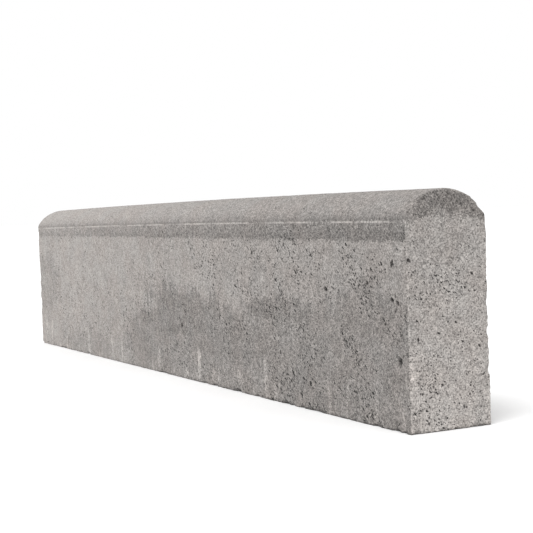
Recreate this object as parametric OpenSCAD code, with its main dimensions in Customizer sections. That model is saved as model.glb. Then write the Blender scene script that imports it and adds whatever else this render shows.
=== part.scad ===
// Garden kerb stone: one solid block of pressed concrete with upright sides and a domed top. The top
// is a three-centred arch: a broad crown that runs into a tight rounded shoulder on each side. The
// same section runs the whole length. X is along the stone, Y across it and Z up, with the origin in
// the middle of the bed face.

/* [Stone] */
// Length along the kerb line
stone_l = 1000; // [200:10:1200]
// Thickness across the two upright sides
stone_w = 80; // [60:1:160]
// Height from the bed face to the top of the crown
stone_h = 200; // [120:1:400]

/* [Top] */
// Height of the domed top, from the end of the upright sides to the top of the crown
top_h = 24; // [14:0.5:36]
// Radius of the rounded shoulder between each upright side and the crown
shoulder_r = 8; // [3:0.5:12]

/* [Hidden] */
$fn = 128;
concrete_grey = [0.63, 0.61, 0.59];

// Height at which each upright side ends and its shoulder starts
side_h = stone_h - top_h;
// Distance from the middle of the stone to each shoulder's centre of rounding
shoulder_y = stone_w / 2 - shoulder_r;
// Radius of the crown, which reaches the top of the stone and runs smoothly into both shoulders
crown_r = (shoulder_y * shoulder_y + top_h * top_h - shoulder_r * shoulder_r)
    / (2 * (top_h - shoulder_r));
// Height of the crown's centre of rounding
crown_z = stone_h - crown_r;
// Where the crown runs into the shoulder: on the line through both centres of rounding
meeting_scale = crown_r / (crown_r - shoulder_r);
meeting_y = shoulder_y * meeting_scale;
meeting_z = crown_z + (side_h - crown_z) * meeting_scale;

// Upright block of the stone, below the shoulders
module upright_outline() {
    translate([-stone_w / 2, 0])
        square([stone_w, side_h]);
}

// Crown, between the two lines where it runs into the shoulders
module crown_outline() {
    intersection() {
        translate([0, crown_z])
            circle(r = crown_r);
        translate([-meeting_y, side_h])
            square([2 * meeting_y, top_h]);
    }
}

// Rounded shoulder on the +Y side
module shoulder_outline() {
    intersection() {
        translate([shoulder_y, side_h])
            circle(r = shoulder_r);
        translate([meeting_y, side_h])
            square([stone_w / 2 - meeting_y, meeting_z - side_h]);
    }
}

// Cross-section of the stone, with Y across and Z up
module section_outline() {
    upright_outline();
    crown_outline();
    shoulder_outline();
    mirror([1, 0])
        shoulder_outline();
}

// The whole stone: the section laid along X
module kerb_stone() {
    color(concrete_grey)
        rotate([90, 0, 90])
            translate([0, 0, -stone_l / 2])
                linear_extrude(height = stone_l)
                    section_outline();
}

kerb_stone();
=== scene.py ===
"""Looks of the concrete kerb stone: one pressed block with worn arrises, open voids and damp stains.

The stone is meshed from the section that the CAD model has, refined where its relief is fine, and
then worn: everything moves inwards, so the stone stays inside the CAD box. Lengths are in metres.
"""

import math
from typing import NamedTuple

import bpy
import numpy as np
from mathutils import Matrix, Vector


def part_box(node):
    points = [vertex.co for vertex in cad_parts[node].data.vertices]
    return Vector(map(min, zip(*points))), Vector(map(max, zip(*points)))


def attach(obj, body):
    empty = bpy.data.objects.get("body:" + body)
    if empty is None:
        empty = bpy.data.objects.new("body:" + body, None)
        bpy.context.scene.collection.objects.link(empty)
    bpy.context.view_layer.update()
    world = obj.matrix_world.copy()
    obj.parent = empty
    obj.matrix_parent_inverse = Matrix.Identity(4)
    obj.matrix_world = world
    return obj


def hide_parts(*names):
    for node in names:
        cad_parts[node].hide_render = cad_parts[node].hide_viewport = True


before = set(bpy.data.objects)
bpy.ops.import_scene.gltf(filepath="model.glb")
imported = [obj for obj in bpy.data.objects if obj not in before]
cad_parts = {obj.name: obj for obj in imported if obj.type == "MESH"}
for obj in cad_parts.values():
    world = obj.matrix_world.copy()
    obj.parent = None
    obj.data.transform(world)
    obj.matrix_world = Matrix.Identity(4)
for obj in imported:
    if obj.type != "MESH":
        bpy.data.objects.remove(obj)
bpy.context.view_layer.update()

NODE = "kerb_stone"
LOW, HIGH = (np.array(corner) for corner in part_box(NODE))
HALF_L, HALF_W, STONE_H = HIGH
TINY = 1e-6
MM = 0.001

# The section: upright sides, a rounded shoulder on each side and a broad crown
TOP_H = 24 * MM
SHOULDER_R = 8 * MM
SIDE_H = STONE_H - TOP_H
SHOULDER_Y = HALF_W - SHOULDER_R
CROWN_R = (SHOULDER_Y**2 + TOP_H**2 - SHOULDER_R**2) / (2 * (TOP_H - SHOULDER_R))
CROWN_Z = STONE_H - CROWN_R
MEETING_ANGLE = math.atan2(SIDE_H - CROWN_Z, SHOULDER_Y)

# The thin fin that the press left along both sides, just under the shoulder
FIN_Z = 173.5 * MM

# The mesh before refinement. The fin's rows are in millimetres from its own height, and they stand in
# for the even rows within its clearing
STATIONS = 160
SIDE_ROWS = 30
SHOULDER_ROWS = 3
COLUMNS = 22
FIN_ROWS = (-2.4, -1.4, -0.7, 0.0, 0.7, 1.4)
FIN_CLEARING = 3.5 * MM

# The longest edges after refinement
END_EDGE = 3.0 * MM
TOP_EDGE = 9.0 * MM
SIDE_EDGE = 12.0 * MM
FIN_EDGE = 3.4 * MM
BED_ARRIS_EDGE = 2.4 * MM
END_ARRIS_EDGE = 1.0 * MM
VOID_EDGE = 0.75 * MM

# The skin's depth inside the CAD surface, and its relief, each for the ends, top, bed and sides
SKIN = (0.42 * MM, 0.26 * MM, 0.12 * MM, 0.42 * MM)
WAVES = (0.14 * MM, 0.08 * MM, 0.05 * MM, 0.08 * MM)
LUMPS = (0.18 * MM, 0.08 * MM, 0.03 * MM, 0.07 * MM)
GRIT = (0.16 * MM, 0.08 * MM, 0.03 * MM, 0.05 * MM)

# Wear
VOID_DEPTH = 0.95
CROWN_VOID_DEPTH = 0.6
ARRIS_R = 1.0 * MM
CROWN_ARRIS_R = 2.8 * MM
CROWN_FLAKES = 110
ARRIS_FLAKES = 620
NEAR_CAMBER = 2.2 * MM
FAR_CAMBER = 1.8 * MM
CAMBER_FROM_Z = 90 * MM

# Drifts of voids: face, number of drifts, most voids in a drift, its spread and the voids' size
VOID_DRIFTS = (
    ("-y", 66, 5, 9 * MM, 0.76 * MM),
    ("+y", 55, 5, 9 * MM, 0.95 * MM),
    ("+x", 30, 5, 6 * MM, 0.68 * MM),
    ("-x", 30, 5, 6 * MM, 0.75 * MM),
    ("-z", 9, 4, 8 * MM, 1.5 * MM),
)
CROWN_VOIDS = 34
CROWN_VOID_R = 0.95 * MM
# Where on a face they may be, by its axis: along or across the stone, and up or across it
VOID_REACH = {
    "y": ((-HALF_L + 8 * MM, HALF_L - 8 * MM), (5 * MM, 168 * MM)),
    "x": ((-HALF_W + 4 * MM, HALF_W - 4 * MM), (5 * MM, 135 * MM)),
    "z": ((-HALF_L + 8 * MM, HALF_L - 8 * MM), (-HALF_W + 6 * MM, HALF_W - 6 * MM)),
}

# The largest voids, in the places that show: face, place along or across the stone, height, radius, in mm
LARGE_VOIDS = (
    ("+x", -37, 142, 1.5),
    ("+x", -26, 109, 1.1),
    ("+x", 30, 67, 1.1),
    ("+x", -10, 80, 1.0),
    ("+x", 7, 88, 1.1),
    ("+x", 20, 35, 1.0),
    ("+x", -8, 38, 1.0),
    ("+x", -24, 18, 1.1),
    ("+x", 24, 128, 1.1),
    ("+x", -30, 76, 1.1),
    ("-y", 486, 58, 3.4),
    ("-y", 485, 106, 2.6),
    ("-y", 477, 108, 2.0),
    ("-y", 478, 139, 2.0),
    ("-y", 369, 113, 2.1),
    ("-y", 277, 49, 1.7),
    ("-y", 439, 121, 1.9),
    ("-y", 37, 60, 2.4),
)

# Where the crown has broken away at the near end: y, z, depth, radius
BROKEN_NEAR_CROWN = (
    (35.0 * MM, 183.0 * MM, 3.2 * MM, 9.0 * MM),
    (29.0 * MM, 189.5 * MM, 2.0 * MM, 8.0 * MM),
    (21.0 * MM, 195.0 * MM, 1.4 * MM, 7.0 * MM),
    (-30.0 * MM, 188.0 * MM, 2.2 * MM, 9.0 * MM),
    (-37.0 * MM, 181.0 * MM, 1.8 * MM, 6.0 * MM),
)

# Tones: the core mix on the front and on the ends, and what each thing on it makes of the tone there. The
# ends are set paler than the front as painted light
CORE_TONE = 0.322
END_TONE_BELOW = 0.388
END_TONE_ABOVE = 0.318
WET = 0.65
LIME = 1.60
# Painted shade along the bed, under its rounded arris
BED_PAINTED_SHADE = 0.55
# The fin's tone: a painted highlight along the fin, where it catches the light
FIN_HIGHLIGHT = 0.52
# Painted shade in the crease just above the fin
FIN_CREASE_SHADE = 0.84
# A paler strip along the end arrises, low on the stone
ARRIS_STRIP_TONE = 1.07
# Soiling and painted shade in the pin holes
HOLE_DIRT_AND_SHADE = 0.10
# Painted highlight on the pin holes' rims
HOLE_RIM_HIGHLIGHT = 1.16
PALE_GRAIN = 1.25
# Soiling and painted shade in the open voids
VOID_DIRT_AND_SHADE = 0.21
BARE_STONE = 1.42

# Where the facing mix ends: the band on the sides, and the cap on the ends, which hangs like an arch
BAND_FROM_Z_FAR = 160.5 * MM
BAND_FROM_Z_NEAR = 156.0 * MM
CAP_FROM_Z = 176.2 * MM
CAP_ARCH = 4.4

# Sizes of the sand's grains and of the pits, as cells in a metre
SAND = 950
COARSE_SAND = 380
WIDE_PITS = 320
FINE_PITS = 540
PALE_GRAINS = 300
DOWNHILL = -0.8

# Marks on the front. Each stain and run has its middle (x, z), its half size and its strength
DAMP_STAINS = (
    ((0.035, 0.075), (0.100, 0.027), 1.0),
    ((-0.060, 0.046), (0.085, 0.026), 0.75),
    ((0.140, 0.052), (0.100, 0.030), 0.85),
    ((0.275, 0.090), (0.070, 0.012), 1.0),
    ((0.300, 0.040), (0.160, 0.028), 0.60),
    ((0.430, 0.080), (0.090, 0.035), 0.70),
    ((-0.460, 0.085), (0.050, 0.045), 0.45),
    ((-0.300, 0.016), (0.110, 0.018), 0.40),
    ((0.430, 0.028), (0.120, 0.040), 0.66),
    ((-0.100, 0.028), (0.060, 0.022), 0.55),
)
LIME_RUNS = (
    ((-0.035, 0.018), (0.0040, 0.012), 0.6),
    ((0.045, 0.006), (0.0060, 0.008), 0.6),
    ((0.083, 0.022), (0.0045, 0.017), 1.0),
    ((0.100, 0.008), (0.0035, 0.009), 0.7),
    ((0.133, 0.010), (0.0040, 0.008), 0.6),
    ((0.183, 0.016), (0.0040, 0.008), 0.5),
    ((0.243, 0.024), (0.0030, 0.017), 0.8),
    ((0.262, 0.008), (0.0060, 0.009), 0.5),
)

# Pale stones that lie bare near the front corner: place, radius
BARE_STONES = (
    ((0.500, -0.0345, 0.047), 0.0036),
    ((0.500, 0.0070, 0.061), 0.0026),
    ((0.480, -0.0400, 0.031), 0.0030),
    ((0.464, -0.0400, 0.026), 0.0020),
)

# Camera (yaw, pitch and roll in degrees, lens and sensor in mm) and light (width in degrees)
CAMERA_PLACE = (1.343, -0.5926, 0.1824)
CAMERA_ANGLES = (63.08, 2.425, -2.14)
CAMERA_LENS = 85.0
CAMERA_SENSOR = 36.0
WORLD_STRENGTH = 1.0
SUN_FROM = (0.25, -0.45, 0.85)
SUN_STRENGTH = 1.5
SUN_WIDTH = 30


# ---------- noise ----------


def lattice_value(cells, seed):
    """A repeatable random number from -1 to 1 for each whole-number point."""
    x, y, z = np.moveaxis(cells, -1, 0)
    h = x * 73856093 ^ y * 19349663 ^ z * 83492791 ^ seed * 2654435761
    h = (h ^ (h >> 13)) * 1274126177 & 0xFFFFFFFF
    h = (h ^ (h >> 15)) * 2246822519 & 0xFFFFFFFF
    return (h & 0xFFFFFF) / 0x7FFFFF - 1.0


def value_noise(points, cell, seed):
    """Smooth noise from -1 to 1 whose bumps are about one cell wide."""
    scaled = points / cell
    whole = np.floor(scaled).astype(np.int64)
    part = scaled - whole
    part = part * part * (3 - 2 * part)
    total = np.zeros(len(points))
    for corner in np.ndindex(2, 2, 2):
        weight = np.prod(np.where(corner, part, 1 - part), axis=1)
        total += weight * lattice_value(whole + np.array(corner), seed)
    return total


def rough_noise(points, cell, octaves, seed):
    """Value noise with finer and weaker copies of itself added."""
    total = np.zeros(len(points))
    for octave in range(octaves):
        total += value_noise(points, cell / 2**octave, seed + octave) / 2**octave
    return total


def smooth_step(value, low, high):
    t = np.clip((value - low) / (high - low), 0, 1)
    return t * t * (3 - 2 * t)


# ---------- the sound stone ----------


def side_profile():
    """Right side of the section, from the bed up to where the shoulder meets the crown."""
    even = np.linspace(0, SIDE_H, SIDE_ROWS + 1)
    heights = [z for z in even if abs(z - FIN_Z) > FIN_CLEARING or z == SIDE_H]
    heights += [FIN_Z + row * MM for row in FIN_ROWS]
    straight = [(HALF_W, z) for z in sorted(heights)]
    angles = np.linspace(0, MEETING_ANGLE, SHOULDER_ROWS + 1)[1:]
    spokes = [(SHOULDER_R * math.cos(a), SHOULDER_R * math.sin(a)) for a in angles]
    rounded = [(SHOULDER_Y + y, SIDE_H + z) for y, z in spokes]
    return np.array(straight + rounded)


def crown_profile():
    """Crown of the section, from its left end to its right end."""
    angles = np.linspace(math.pi - MEETING_ANGLE, MEETING_ANGLE, COLUMNS + 1)
    return np.stack([CROWN_R * np.cos(angles), CROWN_Z + CROWN_R * np.sin(angles)], axis=1)


def end_grid():
    """Grid of section points, [row][column], whose rim is the section's outline."""
    right = side_profile()
    left = right * (-1, 1)
    bed = np.stack([np.linspace(-HALF_W, HALF_W, COLUMNS + 1), np.zeros(COLUMNS + 1)], axis=1)
    crown = crown_profile()
    u = np.linspace(0, 1, COLUMNS + 1)[None, :, None]
    v = (right[:, 1] / right[-1, 1])[:, None, None]
    edges = (1 - v) * bed[None] + v * crown[None] + (1 - u) * left[:, None] + u * right[:, None]
    lower = (1 - u) * bed[0] + u * bed[-1]
    upper = (1 - u) * crown[0] + u * crown[-1]
    return edges - (1 - v) * lower - v * upper


def quads_to_triangles(quads):
    return np.concatenate([quads[:, [0, 1, 2]], quads[:, [0, 2, 3]]])


def sound_stone():
    """Points and triangles of the stone as pressed, closed and facing outwards."""
    grid = end_grid()
    rows, columns = grid.shape[:2]
    number = np.arange(rows * columns).reshape(rows, columns)
    flat = grid.reshape(-1, 2)
    rim = np.concatenate([number[0, :-1], number[:-1, -1], number[-1, :0:-1], number[:0:-1, 0]])

    xs = np.linspace(-HALF_L, HALF_L, STATIONS + 1)
    near = np.column_stack([np.full(len(flat), HALF_L), flat])
    far = np.column_stack([np.full(len(flat), -HALF_L), flat])
    rings = [np.column_stack([np.full(len(rim), x), flat[rim]]) for x in xs[1:-1]]
    points = np.concatenate([far, near, *rings])

    corners = [number[:-1, :-1], number[:-1, 1:], number[1:, 1:], number[1:, :-1]]
    cap = np.stack(corners, axis=-1).reshape(-1, 4)
    near_cap = cap + len(flat)
    far_cap = cap[:, ::-1]
    between = 2 * len(flat) + np.arange((STATIONS - 1) * len(rim)).reshape(-1, len(rim))
    ring_numbers = [rim, *between, rim + len(flat)]
    walls = []
    for a, b in zip(ring_numbers, ring_numbers[1:]):
        walls.append(np.stack([a, np.roll(a, -1), np.roll(b, -1), b], axis=1))
    quads = np.concatenate([near_cap, far_cap, *walls])
    return points, quads_to_triangles(quads)


# ---------- refinement ----------


def halve_long_edges(points, triangles, wanted):
    """Cuts each edge that is longer than wanted(its middle), keeping the mesh closed."""
    sides = triangles[:, [[0, 1], [1, 2], [2, 0]]]
    keys = np.sort(sides, axis=2)
    keys = keys[..., 0] * len(points) + keys[..., 1]
    found, edge_of = np.unique(keys, return_inverse=True)
    edge_of = edge_of.reshape(-1, 3)
    ends = np.stack([found // len(points), found % len(points)], axis=1)
    middles = points[ends].mean(axis=1)
    lengths = np.linalg.norm(points[ends[:, 0]] - points[ends[:, 1]], axis=1)
    cut = lengths > wanted(middles)
    longest = np.argmax(lengths[edge_of], axis=1)
    every = np.arange(len(triangles))
    while True:
        touched = cut[edge_of].any(axis=1)
        more = touched & ~cut[edge_of[every, longest]]
        if not more.any():
            break
        cut[edge_of[more, longest[more]]] = True

    new = np.full(len(found), -1)
    new[cut] = len(points) + np.arange(cut.sum())
    turn = (longest[:, None] + np.arange(3)) % 3
    a, b, c = np.take_along_axis(triangles, turn, axis=1).T
    m, n, k = new[np.take_along_axis(edge_of, turn, axis=1)].T
    whole = m < 0
    one = (m >= 0) & (n < 0) & (k < 0)
    right = (m >= 0) & (n >= 0) & (k < 0)
    left = (m >= 0) & (n < 0) & (k >= 0)
    both = (m >= 0) & (n >= 0) & (k >= 0)
    parts = [triangles[whole]]
    for case, corners in (
        (one, ((a, m, c), (m, b, c))),
        (right, ((a, m, c), (m, b, n), (m, n, c))),
        (left, ((m, b, c), (a, m, k), (m, c, k))),
        (both, ((a, m, k), (m, b, n), (k, n, c), (m, n, k))),
    ):
        parts += [np.stack([p[case] for p in corner], axis=1) for corner in corners]
    return np.concatenate([points, middles[cut]]), np.concatenate(parts), int(cut.sum())


def refined(points, triangles, wanted, passes=7):
    for _ in range(passes):
        points, triangles, cuts = halve_long_edges(points, triangles, wanted)
        if not cuts:
            break
    return points, triangles


# ---------- voids ----------


class Void(NamedTuple):
    """An open void in the skin. It is stretch times as long, in the direction along, as it is wide."""

    centre: np.ndarray
    normal: np.ndarray
    along: np.ndarray
    radius: float
    depth: float
    stretch: float


def face_frame(face):
    """Normal, and the two directions (across, up) of a flat face named by its outward axis."""
    axis, sign = "xyz".index(face[1]), 1.0 if face[0] == "+" else -1.0
    normal = np.zeros(3)
    normal[axis] = sign
    up = np.array([0.0, 0, 1]) if axis != 2 else np.array([1.0, 0, 0])
    return normal, np.cross(up, normal), up


def face_point(face, across, up):
    """Point on a flat face, from its distance along the stone or across it, and its height."""
    if face[1] == "x":
        return np.array([HALF_L if face[0] == "+" else -HALF_L, across, up])
    if face[1] == "y":
        return np.array([across, HALF_W if face[0] == "+" else -HALF_W, up])
    return np.array([across, up, 0.0])


def face_void(rng, face, across, up, radius):
    """A void in a flat face. Most are drawn out downhill to the right, as seen from outside."""
    normal, sideways, upward = face_frame(face)
    angle = rng.normal(-0.6, 0.5)
    along = math.cos(angle) * sideways + math.sin(angle) * upward
    stretch = rng.uniform(1.0, 2.1)
    return Void(face_point(face, across, up), normal, along, radius, radius * VOID_DEPTH, stretch)


def drifting_voids(rng, face, drifts, most, spread, size):
    """Voids come in loose drifts where the mix was short of fines."""
    (low_a, high_a), (low_u, high_u) = VOID_REACH[face[1]]
    for _ in range(drifts):
        middle = np.array([rng.uniform(low_a, high_a), rng.uniform(low_u, high_u)])
        slope = rng.uniform(0.3, 1.2) * rng.choice([-1, -1, -1, 1])
        direction = np.array([1, slope]) / math.hypot(1, slope)
        for _ in range(rng.integers(1, most + 1)):
            offset = direction * rng.normal(0, spread) + rng.normal(0, spread * 0.35, 2)
            across, up = middle + offset
            if low_a < across < high_a and low_u < up < high_u:
                radius = size * rng.uniform(0.7, 1.0) * rng.uniform(0.7, 1.45)
                yield face_void(rng, face, across, up, radius)


def crown_voids(rng):
    for _ in range(CROWN_VOIDS):
        angle = rng.uniform(MEETING_ANGLE, math.pi - MEETING_ANGLE)
        normal = np.array([0, math.cos(angle), math.sin(angle)])
        centre = np.array([rng.uniform(-0.98, 0.98) * HALF_L, 0, CROWN_Z]) + CROWN_R * normal
        turn = rng.uniform(0, math.pi)
        along = np.array([math.cos(turn), 0, 0]) + math.sin(turn) * np.array([0, -normal[2], normal[1]])
        radius = CROWN_VOID_R * rng.uniform(0.6, 1.3)
        yield Void(centre, normal, along, radius, radius * CROWN_VOID_DEPTH, rng.uniform(1.0, 1.8))


def make_voids():
    rng = np.random.default_rng(7)
    voids = [face_void(rng, face, a * MM, up * MM, radius * MM) for face, a, up, radius in LARGE_VOIDS]
    for drifts in VOID_DRIFTS:
        voids += drifting_voids(rng, *drifts)
    voids += crown_voids(rng)
    return voids


def near_voids(points, voids):
    """Yields (which points, void) for the points within reach of each void."""
    order = np.argsort(points[:, 0])
    sorted_x = points[order, 0]
    for void in voids:
        reach = void.radius * void.stretch * 1.6 + 1.2 * MM
        first, last = np.searchsorted(sorted_x, (void.centre[0] - reach, void.centre[0] + reach))
        some = order[first:last]
        close = (np.abs(points[some] - void.centre) < reach).all(axis=1)
        if close.any():
            yield some[close], void


def void_distance(points, void):
    """Distance from the void's centre in its own stretched radii, 1 at its rim."""
    offset = points - void.centre
    across = np.cross(void.normal, void.along)
    return np.hypot(offset @ void.along / (void.radius * void.stretch), offset @ across / void.radius)


class Depths(NamedTuple):
    """How deep points lie below the nearer end, below the outline of sides and top, and above the bed.

    Also the outline's normal, in the section's y and z.
    """

    end: np.ndarray
    outline: np.ndarray
    bed: np.ndarray
    normal_y: np.ndarray
    normal_z: np.ndarray


def depths(points):
    x, y, z = points.T
    below_end = HALF_L - np.abs(x)
    upright = z < SIDE_H
    turn = np.arctan2(z - SIDE_H, np.abs(y) - SHOULDER_Y)
    on_shoulder = ~upright & (turn < MEETING_ANGLE) & (np.abs(y) > SHOULDER_Y)
    centre_y = np.where(on_shoulder, np.sign(y) * SHOULDER_Y, 0.0)
    centre_z = np.where(on_shoulder, SIDE_H, CROWN_Z)
    spoke_y, spoke_z = y - centre_y, z - centre_z
    length = np.hypot(spoke_y, spoke_z) + TINY
    arc_radius = np.where(on_shoulder, SHOULDER_R, CROWN_R)
    below_outline = np.where(upright, HALF_W - np.abs(y), arc_radius - length)
    above_bed = np.where(upright, z, STONE_H)
    normal_y = np.where(upright, np.sign(y), spoke_y / length)
    normal_z = np.where(upright, 0.0, spoke_z / length)
    return Depths(below_end, below_outline, above_bed, normal_y, normal_z)


def end_arris_distance(depth):
    return np.hypot(depth.end, np.minimum(depth.outline, depth.bed))


def wanted_edge(voids):
    """Longest edge allowed at a point: fine at arrises, ends, the fin and round each void."""

    def wanted(points):
        z = points[:, 2]
        depth = depths(points)
        on_end = depth.end < TINY
        on_fin = (depth.outline < TINY) & (z < SIDE_H) & (np.abs(z - FIN_Z) < 2 * MM)
        size = np.where(on_end, END_EDGE, np.where(z > SIDE_H, TOP_EDGE, SIDE_EDGE))
        size = np.minimum(size, END_ARRIS_EDGE + 0.7 * end_arris_distance(depth))
        size = np.minimum(size, BED_ARRIS_EDGE + 1.2 * np.hypot(depth.bed, depth.outline))
        size = np.where(on_fin, np.minimum(size, FIN_EDGE), size)
        for some, void in near_voids(points, voids):
            beyond = np.maximum(void_distance(points[some], void) - 1.1, 0) * void.radius
            fine = max(VOID_EDGE, void.radius * 0.55)
            size[some] = np.minimum(size[some], fine + 2.0 * beyond)
        return size

    return wanted


# ---------- wear ----------


def rounded_arrises(points):
    """Rounds the arrises between the flat faces, and round both ends' outlines, by a varying radius."""
    depth = depths(points)
    on_crown = smooth_step(points[:, 2], SIDE_H - 4 * MM, SIDE_H + 8 * MM)
    radius = ARRIS_R + on_crown * (CROWN_ARRIS_R - ARRIS_R)
    radius = radius * np.clip(1 + 0.8 * rough_noise(points, 9 * MM, 3, 11), 0.25, 2.2)
    over_end, over_outline, over_bed = (np.clip(radius - below, 0, None) for below in depth[:3])
    reach = np.sqrt(over_end**2 + over_outline**2 + over_bed**2) + TINY
    pull = np.where(reach > radius, radius / reach - 1, 0.0)
    moved = points.copy()
    moved[:, 0] += np.sign(points[:, 0]) * over_end * pull
    moved[:, 1] += depth.normal_y * over_outline * pull
    moved[:, 2] += depth.normal_z * over_outline * pull - over_bed * pull
    return moved


class Rim:
    """The section's outline as one line, measured by the distance along it."""

    def __init__(self):
        grid = end_grid()
        self.points = np.concatenate([grid[0], grid[:, -1], grid[-1, ::-1], grid[::-1, 0]])
        lengths = np.linalg.norm(np.diff(self.points, axis=0), axis=1)
        self.steps = np.concatenate([[0], np.cumsum(lengths)])
        self.length = self.steps[-1]

    def point(self, distance):
        distance = distance % self.length
        return np.array([np.interp(distance, self.steps, self.points[:, axis]) for axis in range(2)])

    def outward(self, distance):
        along = self.point(distance + MM) - self.point(distance - MM)
        outward = np.array([along[1], -along[0]])
        outward /= np.linalg.norm(outward) + TINY
        from_middle = self.point(distance) - (0, STONE_H / 2)
        return outward if outward @ from_middle >= 0 else -outward


class Flake(NamedTuple):
    """A scoop out of an arris: where, which way it faces, its depth there and its ball's radius."""

    spot: np.ndarray
    outward: np.ndarray
    depth: float
    radius: float


def broken_crown():
    for y, z, depth, radius in BROKEN_NEAR_CROWN:
        outward = np.array([1.0, y / CROWN_R, (z - CROWN_Z) / CROWN_R])
        yield Flake(np.array([HALF_L, y, z]), outward, depth, radius)


def crown_arris_flakes(rng):
    """Small flakes close together along the crown's arris at both ends."""
    for _ in range(CROWN_FLAKES):
        angle = rng.uniform(MEETING_ANGLE, math.pi - MEETING_ANGLE)
        end = rng.choice([-1, 1])
        spoke = np.array([math.cos(angle), math.sin(angle)])
        spot = np.array([end * HALF_L, *(CROWN_R * spoke + (0, CROWN_Z))])
        depth = rng.uniform(1.5, 2.9) * MM
        yield Flake(spot, np.array([end, *spoke]), depth, rng.uniform(2.0, 4.6) * MM)


def arris_spot(rng, rim):
    """A random place on the arrises of the ends or the bed, and the way that its arris faces."""
    if rng.random() < 0.5:
        at = rng.uniform(0, rim.length)
        end = rng.choice([-1, 1])
        spot = np.array([end * HALF_L, *rim.point(at)])
        outward = np.array([end, *rim.outward(at)])
    else:
        side = rng.choice([-1, 1])
        spot = np.array([rng.uniform(-1, 1) * HALF_L, side * HALF_W, 0])
        outward = np.array([0, side, -1])
    return spot, outward / math.sqrt(2)


def arris_flakes(rng):
    """Flakes all round the arrises. Few of them are large."""
    rim = Rim()
    for _ in range(ARRIS_FLAKES):
        spot, outward = arris_spot(rng, rim)
        size = rng.uniform(0, 1) ** 4
        tilt = outward + rng.normal(0, 0.25, 3)
        yield Flake(spot, tilt, (0.5 + 2.0 * size) * MM, (3.0 + 9.0 * size) * MM)


def scoop(points, centre, radius):
    """Pushes the points inside a ball out to its surface."""
    offset = points - centre
    distance = np.linalg.norm(offset, axis=1)
    inside = distance < radius
    points[inside] = centre + offset[inside] / distance[inside, None] * radius
    return points


def chipped(points):
    """Breaks flakes off the arrises."""
    rng = np.random.default_rng(21)
    order = np.argsort(points[:, 0])
    sorted_x = points[order, 0]
    for flake in (*broken_crown(), *crown_arris_flakes(rng), *arris_flakes(rng)):
        x, reach = flake.spot[0], 2 * flake.radius
        first, last = np.searchsorted(sorted_x, (x - reach, x + reach))
        some = order[first:last]
        direction = flake.outward / np.linalg.norm(flake.outward)
        centre = flake.spot + direction * (flake.radius - flake.depth)
        points[some] = scoop(points[some], centre, flake.radius)
    return points


def vertex_normals(points, triangles):
    a, b, c = points[triangles].transpose(1, 0, 2)
    faces = np.cross(b - a, c - a)
    total = np.zeros_like(points)
    for corner in range(3):
        for axis in range(3):
            total[:, axis] += np.bincount(triangles[:, corner], faces[:, axis], len(points))
    return total / (np.linalg.norm(total, axis=1, keepdims=True) + 1e-12)


def by_face(points, sizes):
    """For each point the size that its face has, of four: the ends, the top, the bed and the sides."""
    depth = depths(points)
    on_end = depth.end < TINY
    return np.select([on_end, points[:, 2] > SIDE_H, depth.bed < TINY], sizes[:3], sizes[3])


def skin_depth(points):
    """How far the skin lies inside the CAD surface: broad waves, lumps and grit."""
    relief = by_face(points, WAVES) * rough_noise(points, 70 * MM, 2, 31)
    relief += by_face(points, LUMPS) * rough_noise(points, 11 * MM, 2, 41)
    relief += by_face(points, GRIT) * rough_noise(points, 4.5 * MM, 2, 51)
    return by_face(points, SKIN) + relief


def fin_height(points):
    """Height of the press fin as a share of the skin's depth. It is broken off here and there."""
    on_side = (depths(points).outline < TINY) & (points[:, 2] < SIDE_H)
    along = points * (1, 1, 0)
    whole = smooth_step(rough_noise(along, 26 * MM, 3, 61), -0.8, 0.3)
    whole *= smooth_step(HALF_L - np.abs(points[:, 0]), 8 * MM, 40 * MM)
    ridge = 1 - smooth_step(np.abs(points[:, 2] - FIN_Z), 0.1 * MM, 1.3 * MM)
    return np.where(on_side, ridge * (0.15 + 0.85 * whole), 0.0)


def arris_strip(points):
    """1 on an arris of the ends, falling to 0 a little way from it, in an uneven strip."""
    distance = end_arris_distance(depths(points))
    width = 3.2 * MM * (1 + 0.7 * rough_noise(points, 7 * MM, 2, 81))
    return 1 - smooth_step(distance, 0.3 * width, width)


def void_depth(points, voids):
    """Depth of the voids below the skin, and how far inside a void each point is, from 0 to 1."""
    depth = np.zeros(len(points))
    inside = np.zeros(len(points))
    warp = 0.22 * rough_noise(points, 1.6 * MM, 2, 71)
    for some, void in near_voids(points, voids):
        distance = void_distance(points[some], void) + warp[some]
        bowl = 1 - smooth_step(distance, 0.35, 1.0)
        depth[some] = np.maximum(depth[some], bowl * void.depth)
        inside[some] = np.maximum(inside[some], 1 - smooth_step(distance, 0.65, 1.05))
    return depth, inside


def cambered(points):
    """The top sinks a little towards both ends, as the mould was filled less there."""
    x, z = points[:, 0], points[:, 2]
    drop = np.where(x > 0, NEAR_CAMBER, FAR_CAMBER) * (x / HALF_L) ** 2
    points[:, 2] = z - drop * smooth_step(z, CAMBER_FROM_Z, SIDE_H)
    return points


# ---------- the piece ----------


def add_mask(mesh, name, values):
    layer = mesh.attributes.new(name, "FLOAT", "POINT")
    layer.data.foreach_set("value", values.astype(np.float32))


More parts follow.
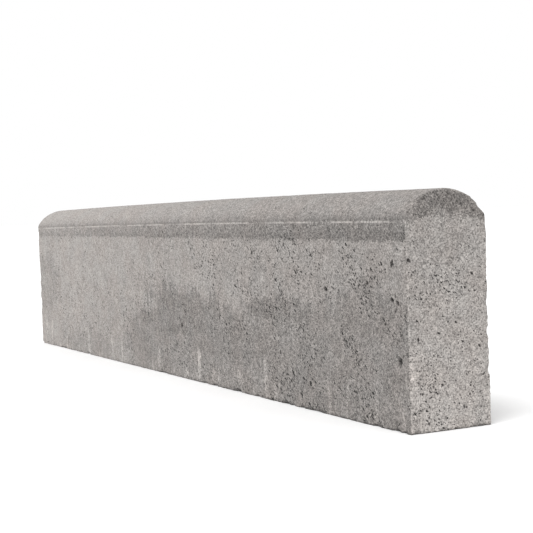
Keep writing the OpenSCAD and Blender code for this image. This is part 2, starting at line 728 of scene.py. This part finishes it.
def make_stone():
    voids = make_voids()
    points, triangles = refined(*sound_stone(), wanted_edge(voids))
    fin = fin_height(points)
    hollow, inside = void_depth(points, voids)
    depth = np.clip(skin_depth(points) * (1 - fin), 0, None) + hollow
    worn = chipped(rounded_arrises(points))
    worn -= vertex_normals(worn, triangles) * depth[:, None]
    worn = np.clip(cambered(worn), LOW, HIGH)

    mesh = bpy.data.meshes.new("kerb_stone_worn")
    mesh.from_pydata(worn.tolist(), [], triangles.tolist())
    mesh.polygons.foreach_set("use_smooth", np.ones(len(triangles), bool))
    add_mask(mesh, "void", inside)
    add_mask(mesh, "end_face", HALF_L - np.abs(points[:, 0]) < TINY)
    add_mask(mesh, "fin", fin)
    add_mask(mesh, "arris", arris_strip(points))
    stone = bpy.data.objects.new("kerb_stone_worn", mesh)
    bpy.context.scene.collection.objects.link(stone)
    return stone


# ---------- materials ----------


class Shader:
    """Builds a node tree a line at a time. A value is a socket or a plain number."""

    def __init__(self, name):
        self.material = bpy.data.materials.new(name)
        self.material.use_nodes = True
        self.tree = self.material.node_tree
        self.tree.nodes.clear()

    def node(self, kind, **settings):
        made = self.tree.nodes.new(kind)
        for name, value in settings.items():
            setattr(made, name, value)
        return made

    def feed(self, socket, value):
        if isinstance(value, bpy.types.NodeSocket):
            self.tree.links.new(value, socket)
        else:
            socket.default_value = value

    def math(self, operation, a, b):
        made = self.node("ShaderNodeMath", operation=operation)
        self.feed(made.inputs[0], a)
        self.feed(made.inputs[1], b)
        return made.outputs[0]

    def add(self, *values):
        total = values[0]
        for value in values[1:]:
            total = self.math("ADD", total, value)
        return total

    def sub(self, a, b):
        return self.math("SUBTRACT", a, b)

    def mul(self, *values):
        product = values[0]
        for value in values[1:]:
            product = self.math("MULTIPLY", product, value)
        return product

    def span(self, value, low, high, to_low=0.0, to_high=1.0, smooth=True):
        """Maps low..high to to_low..to_high, and holds still beyond."""
        made = self.node("ShaderNodeMapRange", interpolation_type="SMOOTHSTEP" if smooth else "LINEAR")
        sockets = ("Value", "From Min", "From Max", "To Min", "To Max")
        for socket, given in zip(sockets, (value, low, high, to_low, to_high)):
            self.feed(made.inputs[socket], given)
        return made.outputs[0]

    def mix(self, share, a, b):
        """The number a where share is 0, b where it is 1."""
        made = self.node("ShaderNodeMix", data_type="FLOAT")
        for socket, given in zip(made.inputs, (share, None, a, b)):
            if given is not None:
                self.feed(socket, given)
        return made.outputs[0]

    def mix_places(self, share, a, b):
        """The place a where share is 0, b where it is 1."""
        made = self.node("ShaderNodeMix", data_type="VECTOR")
        self.feed(made.inputs["Factor"], share)
        self.feed(made.inputs[4], a)
        self.feed(made.inputs[5], b)
        return made.outputs[1]

    def mask(self, name):
        return self.node("ShaderNodeAttribute", attribute_name=name).outputs["Fac"]

    def stretched(self, vector, scale):
        made = self.node("ShaderNodeMapping")
        self.feed(made.inputs["Vector"], vector)
        made.inputs["Scale"].default_value = scale
        return made.outputs[0]

    def drawn_out(self, vector, direction, along, across):
        """Scales by along in one direction and by across at right angles to it."""
        direction = Vector(direction).normalized()
        share = self.node("ShaderNodeVectorMath", operation="DOT_PRODUCT")
        self.feed(share.inputs[0], vector)
        share.inputs[1].default_value = direction
        shift = self.node("ShaderNodeVectorMath", operation="SCALE")
        shift.inputs[0].default_value = direction * (along - across)
        self.feed(shift.inputs["Scale"], share.outputs["Value"])
        wide = self.node("ShaderNodeVectorMath", operation="SCALE")
        self.feed(wide.inputs[0], vector)
        wide.inputs["Scale"].default_value = across
        total = self.node("ShaderNodeVectorMath", operation="ADD")
        self.feed(total.inputs[0], wide.outputs[0])
        self.feed(total.inputs[1], shift.outputs[0])
        return total.outputs[0]

    def noise(self, vector, per_metre, detail=2.0, roughness=0.5):
        made = self.node("ShaderNodeTexNoise")
        self.feed(made.inputs["Vector"], vector)
        made.inputs["Scale"].default_value = per_metre
        made.inputs["Detail"].default_value = detail
        made.inputs["Roughness"].default_value = roughness
        return made.outputs["Fac"]

    def wobble(self, vector, per_metre, size):
        """The place moved a little, so that what is drawn there has uneven edges."""
        waves = self.node("ShaderNodeTexNoise")
        self.feed(waves.inputs["Vector"], vector)
        waves.inputs["Scale"].default_value = per_metre
        scaled = self.node("ShaderNodeVectorMath", operation="SCALE")
        self.feed(scaled.inputs[0], waves.outputs["Color"])
        scaled.inputs["Scale"].default_value = size
        moved = self.node("ShaderNodeVectorMath", operation="ADD")
        self.feed(moved.inputs[0], vector)
        self.feed(moved.inputs[1], scaled.outputs[0])
        return moved.outputs[0]

    def cells(self, vector, per_metre):
        """Distance to the nearest cell's centre, and that cell's own random number."""
        made = self.node("ShaderNodeTexVoronoi")
        self.feed(made.inputs["Vector"], vector)
        made.inputs["Scale"].default_value = per_metre
        apart = self.node("ShaderNodeSeparateColor")
        self.feed(apart.inputs[0], made.outputs["Color"])
        return made.outputs["Distance"], apart.outputs[0]

    def spots(self, vector, per_metre, share, size):
        """1 inside round spots, which a share of the cells have, and 1 on their rims.

        They are up to size cells in radius.
        """
        distance, chance = self.cells(vector, per_metre)
        radius = self.span(chance, 1 - share, 1.0, 0.0, size, smooth=False)
        inside = self.span(self.sub(radius, distance), 0.0, 0.07)
        near = self.span(self.sub(radius, distance), -0.16, -0.02)
        rim = self.mul(near, self.sub(1.0, inside), self.span(radius, 0.08, 0.2))
        return inside, rim

    def output(self, surface):
        made = self.node("ShaderNodeOutputMaterial")
        self.feed(made.inputs["Surface"], surface.outputs[0])


class Place:
    """Where the shader is on the stone: its position, its axes and the masks that the mesh carries."""

    def __init__(self, shader):
        self.point = shader.node("ShaderNodeTexCoord").outputs["Object"]
        axes = shader.node("ShaderNodeSeparateXYZ")
        shader.feed(axes.inputs[0], self.point)
        self.x, self.y, self.z = axes.outputs
        self.end = shader.mask("end_face")
        self.long = shader.sub(1.0, self.end)
        self.crown = shader.mul(shader.span(self.z, 0.172, 0.178), self.long)
        self.void = shader.mask("void")
        self.fin = shader.mask("fin")
        self.arris = shader.mask("arris")


def core_tone_and_painted_light(s, at):
    """Core mix: grey, mottled at every size. Painted light makes it a little paler to the far end, and
    the end faces paler than the front; low on the end faces it is paler still.
    """
    # Painted light: paler to the far end
    tone = s.mul(CORE_TONE, s.span(at.x, LOW[0], HIGH[0], 1.13, 0.86, False))
    # The ends: paler than the front as painted light, and paler low down
    tone = s.mix(at.end, tone, s.span(at.z, 0.0, 0.17, END_TONE_BELOW, END_TONE_ABOVE))
    clouds = s.sub(s.noise(at.point, 7.5, 2.0), 0.5)
    patches = s.sub(s.noise(at.point, 45, 3.0), 0.5)
    lumps = s.sub(s.noise(at.point, 150, 2.0), 0.5)
    mottle = s.add(s.mul(clouds, 0.18), s.mul(patches, 0.30), s.mul(lumps, 0.50))
    return s.mul(tone, s.add(1.0, s.mul(mottle, s.mix(at.crown, 1.0, 0.35))))


def facing_mix(s, at):
    """How much the facing mix shows (on the crown, the sides' bands, the ends' caps), and its tone. On
    the sides the tone is painted paler to the far end, and the crown is paler than the band, partly as
    its pressed face and partly as painted light from above, with painted shade towards its foot.
    """
    small = s.sub(s.noise(at.point, 330, 3.0, 0.7), 0.5)
    broad = s.sub(s.noise(at.point, 60, 2.0), 0.5)
    ragged = s.add(s.mul(small, 0.010), s.mul(broad, 0.005))
    side_edge = s.span(at.x, -0.3, 0.46, BAND_FROM_Z_FAR, BAND_FROM_Z_NEAR, False)
    cap_edge = s.sub(CAP_FROM_Z, s.mul(CAP_ARCH, at.y, at.y))
    edge = s.mix(at.end, side_edge, cap_edge)
    above = s.sub(s.add(at.z, ragged), edge)
    shown = s.span(above, -0.0007, 0.0007)
    shown = s.mix(at.end, shown, s.span(above, -0.0014, 0.0014))

    # The band: painted light makes it paler to the far end
    band = s.mul(s.span(at.z, 0.158, 0.173, 0.66, 0.77), s.span(at.x, -0.5, 0.48, 1.12, 0.94, False))
    # The crown: paler than the band, partly its pressed face and partly painted light from above; darker
    # towards its foot as painted shade; painted paler to the far end
    crown = s.mul(s.span(at.z, 0.175, 0.187, 0.85, 0.98), s.span(at.x, -0.4, 0.4, 1.01, 0.96))
    long_tone = s.mix(s.span(at.z, 0.1735, 0.1755), band, crown)
    cap_mottle = s.span(s.noise(at.point, 90, 3.0, 0.6), 0.3, 0.7, 0.82, 1.22)
    cap_tone = s.mul(s.span(at.z, 0.170, 0.186, 0.72, 0.58), cap_mottle)
    tone = s.mix(at.end, long_tone, cap_tone)
    return shown, s.mul(tone, s.span(s.noise(at.point, 420, 2.0), 0.3, 0.7, 0.88, 1.12))


def soft_stain(s, at, centre, half_size, ragged):
    """1 in the middle of a stain on the front, falling to 0 at its uneven edge."""
    across = s.mul(s.sub(at.x, centre[0]), 1 / half_size[0])
    up = s.mul(s.sub(at.z, centre[1]), 1 / half_size[1])
    distance = s.math("SQRT", s.add(s.mul(across, across), s.mul(up, up)), 0.0)
    front = s.span(at.y, 0.0, -0.01)
    return s.mul(s.span(s.add(distance, ragged), 1.10, 0.84), front)


def largest_stain(s, at, stains, ragged, start=0.0):
    """The strongest of several stains on the front, over what start gives."""
    strongest = start
    for centre, half_size, strength in stains:
        stain = s.mul(soft_stain(s, at, centre, half_size, ragged), strength)
        strongest = s.math("MAXIMUM", strongest, stain)
    return s.mul(strongest, at.long)


def damp(s, at, streaks, blotches):
    """Damp that has risen from the bed: dark, broken up by vertical runs."""
    rise = s.span(at.x, -0.17, 0.02, -0.02, 0.085)
    top = s.add(rise, s.mul(s.sub(blotches, 0.5), 0.13), s.mul(s.sub(streaks, 0.5), 0.05))
    risen = s.span(s.sub(top, at.z), -0.010, 0.014)
    ragged = s.add(s.mul(s.sub(blotches, 0.5), 2.2), s.mul(s.sub(streaks, 0.5), 1.5))
    stains = largest_stain(s, at, DAMP_STAINS, ragged, s.mul(risen, 0.62))
    fine_runs = s.noise(s.stretched(at.point, (230.0, 230.0, 60.0)), 1.0, 2.0)
    return s.mul(stains, s.span(fine_runs, 0.32, 0.62, 0.62, 1.08))


def lime_runs(s, at, streaks):
    """Pale runs of lime that rise a little way from the bed."""
    rise = s.span(s.noise(s.stretched(at.point, (48.0, 48.0, 0.0)), 1.0, 2.0), 0.44, 0.68, 0.0, 0.040)
    small = s.mul(s.span(streaks, 0.50, 0.58), s.span(s.sub(rise, at.z), 0.0, 0.008), 0.5)
    ragged = s.mul(s.sub(s.noise(at.point, 260, 2.0), 0.5), 2.0)
    return largest_stain(s, at, LIME_RUNS, ragged, small)


def bare_stones(s, at):
    """1 on the few pale stones of the mix that lie bare near the front corner."""
    shown = 0.0
    for place, radius in BARE_STONES:
        apart = s.node("ShaderNodeVectorMath", operation="DISTANCE")
        s.feed(apart.inputs[0], s.wobble(at.point, 300, 0.003))
        apart.inputs[1].default_value = place
        shown = s.math("MAXIMUM", shown, s.span(apart.outputs["Value"], radius, radius * 0.5))
    return shown


def bed_painted_shade(s, at):
    """A broken line of painted shade along the bed, where the floor shades the rounded arris, faint
    towards the far end.
    """
    ragged = s.mul(s.sub(s.noise(at.point, 160, 3.0), 0.5), 0.014)
    shade_line = s.span(s.add(at.z, ragged), 0.0026, 0.0006)
    return s.mul(shade_line, s.mix(at.end, s.span(at.x, -0.25, 0.30, 0.15, 1.0), 0.8))


def sand_speckle(s, at, sand, grit, fine, wet, shown):
    """Each grain's own tone, stronger where the stone is wet, near, or made of the facing mix."""
    contrast = s.mix(at.end, s.span(at.x, -0.3, 0.35, 0.88, 1.22), 1.25)
    contrast = s.mul(contrast, s.mix(wet, 1.0, 1.45), s.mix(shown, 1.0, 1.35))
    contrast = s.mul(contrast, s.mix(at.crown, 1.0, 0.72))
    grains = s.add(s.mul(s.sub(sand, 0.5), 0.64), s.mul(s.sub(grit, 0.5), 0.18))
    return s.add(1.0, s.mul(s.add(grains, s.mul(s.sub(fine, 0.5), 0.85)), contrast))


def fin_highlight_and_crease_shade(s, at, sand, tone):
    """The fin, painted pale as a broken highlight where it catches the light, with painted shade in the
    crease just above it.
    """
    crumbs = s.span(s.noise(at.point, 420, 2.0, 0.7), 0.36, 0.6)
    # Painted highlight on the fin, broken up along its length
    tone = s.mix(s.mul(at.fin, s.mix(crumbs, 0.35, 1.0)), tone, FIN_HIGHLIGHT)
    # Painted shade in the crease from just above the fin up to about 4 mm, broken up by the sand
    over = s.span(at.z, FIN_Z + 0.4 * MM, FIN_Z + 1.2 * MM)
    under = s.span(at.z, FIN_Z + 4.0 * MM, FIN_Z + 1.5 * MM)
    crease_shade = s.mul(over, under, at.long, s.span(sand, 0.2, 0.6))
    return s.mul(tone, s.mix(crease_shade, 1.0, FIN_CREASE_SHADE))


def pits(s, at, shown):
    """Pin holes in drifts, drawn out downhill, where soiling and painted shade go; their rims, where a
    painted highlight goes; and pale grains.
    """
    drifting = s.drawn_out(at.point, (1, 1, DOWNHILL), 0.6, 1.3)
    drifts = s.span(s.noise(drifting, 21, 3.0, 0.6), 0.38, 0.60, 0.15, 0.47)
    drifts = s.mul(drifts, s.span(at.x, -0.3, 0.4, 0.85, 1.10))
    end_drifts = s.span(s.noise(drifting, 26, 2.0, 0.6), 0.34, 0.64, 0.26, 0.46)
    end_drifts = s.mul(end_drifts, s.span(at.z, 0.16, 0.11, 0.85, 1.08))
    openness = s.mix(at.end, drifts, end_drifts)
    openness = s.mul(openness, s.mix(at.crown, 1.0, 0.6), s.mix(shown, 1.0, 0.8))

    wobbled = s.wobble(at.point, 420, 0.0022)
    along_front = s.drawn_out(wobbled, (1, 0, DOWNHILL), 0.54, 1.28)
    across_end = s.drawn_out(wobbled, (0, 1, DOWNHILL), 0.62, 1.5)
    place = s.mix_places(at.end, along_front, across_end)
    wide_holes, wide_rims = s.spots(place, WIDE_PITS, 0.34, openness)
    fine_holes, fine_rims = s.spots(place, FINE_PITS, 0.48, s.mul(openness, 1.18))
    holes = s.math("MAXIMUM", wide_holes, fine_holes)
    rims = s.mul(s.math("MAXIMUM", wide_rims, fine_rims), s.sub(1.0, holes))
    pale, _ = s.spots(place, PALE_GRAINS, 0.12, 0.36)
    return holes, rims, pale


def warm_grey(s, at, tone):
    """The tone as a slightly warm grey, warmer in places."""
    tint = s.node("ShaderNodeMix", data_type="RGBA")
    s.feed(tint.inputs[0], s.span(s.noise(at.point, 30, 2.0), 0.3, 0.7))
    tint.inputs[6].default_value = (1.0, 0.920, 0.865, 1)
    tint.inputs[7].default_value = (1.0, 0.945, 0.900, 1)
    colour = s.node("ShaderNodeVectorMath", operation="SCALE")
    s.feed(colour.inputs[0], tint.outputs[2])
    s.feed(colour.inputs["Scale"], tone)
    return colour.outputs[0]


def fine_relief(s, height):
    """Bump for what is finer than the mesh. Height is in millimetres."""
    bump = s.node("ShaderNodeBump")
    bump.inputs["Strength"].default_value = 1.0
    bump.inputs["Distance"].default_value = MM
    s.feed(bump.inputs["Height"], height)
    return bump.outputs[0]


def concrete_material():
    s = Shader("pressed_concrete")
    at = Place(s)
    streaks = s.noise(s.stretched(at.point, (120.0, 120.0, 11.0)), 1.0, 3.0, 0.6)
    blotches = s.noise(s.stretched(at.point, (17.0, 17.0, 24.0)), 1.0, 4.0, 0.6)
    fine = s.noise(at.point, 780, 2.0, 0.6)
    _, sand = s.cells(s.wobble(at.point, 900, 0.001), SAND)
    _, grit = s.cells(s.wobble(at.point, 500, 0.002), COARSE_SAND)

    shown, facing_tone_and_light = facing_mix(s, at)
    wet = damp(s, at, streaks, blotches)
    tone = s.mul(core_tone_and_painted_light(s, at), s.mix(shown, 1.0, facing_tone_and_light))
    tone = s.mul(tone, s.mix(wet, 1.0, WET))
    tone = s.mul(tone, s.mix(lime_runs(s, at, streaks), 1.0, LIME))
    # Painted shade along the bed
    tone = s.mul(tone, s.mix(bed_painted_shade(s, at), 1.0, BED_PAINTED_SHADE))
    tone = s.mul(tone, sand_speckle(s, at, sand, grit, fine, wet, shown))
    tone = fin_highlight_and_crease_shade(s, at, sand, tone)
    # A paler strip along the end arrises, below about 150 mm
    arris_strip_share = s.mul(at.arris, s.span(at.z, 0.155, 0.145))
    tone = s.mul(tone, s.mix(arris_strip_share, 1.0, ARRIS_STRIP_TONE))

    holes, rims, pale = pits(s, at, shown)
    # Painted highlight on the pin holes' rims
    tone = s.mul(tone, s.mix(rims, 1.0, HOLE_RIM_HIGHLIGHT))
    # Soiling and painted shade in the pin holes, and the pale grains
    tone = s.mul(tone, s.mix(holes, 1.0, HOLE_DIRT_AND_SHADE), s.mix(pale, 1.0, PALE_GRAIN))
    # Soiling and painted shade in the open voids
    tone = s.mul(tone, s.mix(at.void, 1.0, VOID_DIRT_AND_SHADE))
    tone = s.mul(tone, s.mix(bare_stones(s, at), 1.0, BARE_STONE))

    height = s.add(s.mul(fine, 0.7), s.mul(sand, 0.12), s.mul(grit, 0.25), s.mul(pale, 0.25))
    height = s.sub(height, s.mul(holes, 0.9))
    dry_roughness = s.span(fine, 0.35, 0.65, 0.84, 0.98)

    surface = s.node("ShaderNodeBsdfPrincipled")
    s.feed(surface.inputs["Base Color"], warm_grey(s, at, tone))
    s.feed(surface.inputs["Roughness"], s.mix(wet, dry_roughness, 0.78))
    s.feed(surface.inputs["Normal"], fine_relief(s, height))
    surface.inputs["Specular IOR Level"].default_value = 0.3
    s.output(surface)
    return s.material


def floor_material():
    s = Shader("pale_floor")
    at = s.node("ShaderNodeTexCoord").outputs["Object"]
    tone = s.span(s.noise(at, 3.0, 3.0), 0.3, 0.7, 0.87, 0.91)
    colour = s.node("ShaderNodeCombineColor")
    for socket in colour.inputs[:3]:
        s.feed(socket, tone)
    surface = s.node("ShaderNodeBsdfPrincipled")
    s.feed(surface.inputs["Base Color"], colour.outputs[0])
    surface.inputs["Roughness"].default_value = 0.95
    surface.inputs["Specular IOR Level"].default_value = 0.1
    s.output(surface)
    return s.material


# ---------- stage, light and camera ----------


def make_floor(radius=60.0, sides=96):
    angles = np.linspace(0, 2 * math.pi, sides, endpoint=False)
    rim = [(radius * math.cos(a), radius * math.sin(a), LOW[2]) for a in angles]
    mesh = bpy.data.meshes.new("floor")
    mesh.from_pydata(rim, [], [list(range(sides))])
    mesh.materials.append(floor_material())
    floor = bpy.data.objects.new("floor", mesh)
    bpy.context.scene.collection.objects.link(floor)


def make_soft_sun(name, toward_light, strength, softness):
    """A light from far off, as wide in the sky as softness in degrees."""
    data = bpy.data.lights.new(name, "SUN")
    data.energy = strength
    data.angle = math.radians(softness)
    light = bpy.data.objects.new(name, data)
    light.matrix_world = Vector(toward_light).to_track_quat("Z", "Y").to_matrix().to_4x4()
    bpy.context.scene.collection.objects.link(light)


def make_world(strength):
    world = bpy.data.worlds.new("white_studio")
    world.use_nodes = True
    background = world.node_tree.nodes["Background"]
    background.inputs["Color"].default_value = (1, 1, 1, 1)
    background.inputs["Strength"].default_value = strength
    bpy.context.scene.world = world


def make_camera():
    """Low at the near end, looking back along the stone, with the small roll of a hand-held shot."""
    yaw, pitch, roll = (math.radians(angle) for angle in CAMERA_ANGLES)
    data = bpy.data.cameras.new("camera")
    data.sensor_width = CAMERA_SENSOR
    data.lens = CAMERA_LENS
    data.clip_start = 0.01
    data.clip_end = 100
    camera = bpy.data.objects.new("camera", data)
    heading = Matrix.Rotation(yaw, 4, "Z")
    tilt = Matrix.Rotation(math.pi / 2 - pitch, 4, "X")
    lean = Matrix.Rotation(roll, 4, "Z")
    camera.matrix_world = Matrix.Translation(CAMERA_PLACE) @ (heading @ tilt @ lean)
    bpy.context.scene.collection.objects.link(camera)
    bpy.context.scene.camera = camera


make_camera()
stone = make_stone()
stone.data.materials.append(concrete_material())
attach(stone, "root")
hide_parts(NODE)

make_floor()
make_world(WORLD_STRENGTH)
make_soft_sun("overhead_softbox", SUN_FROM, SUN_STRENGTH, SUN_WIDTH)
bpy.context.scene.view_settings.view_transform = "Standard"
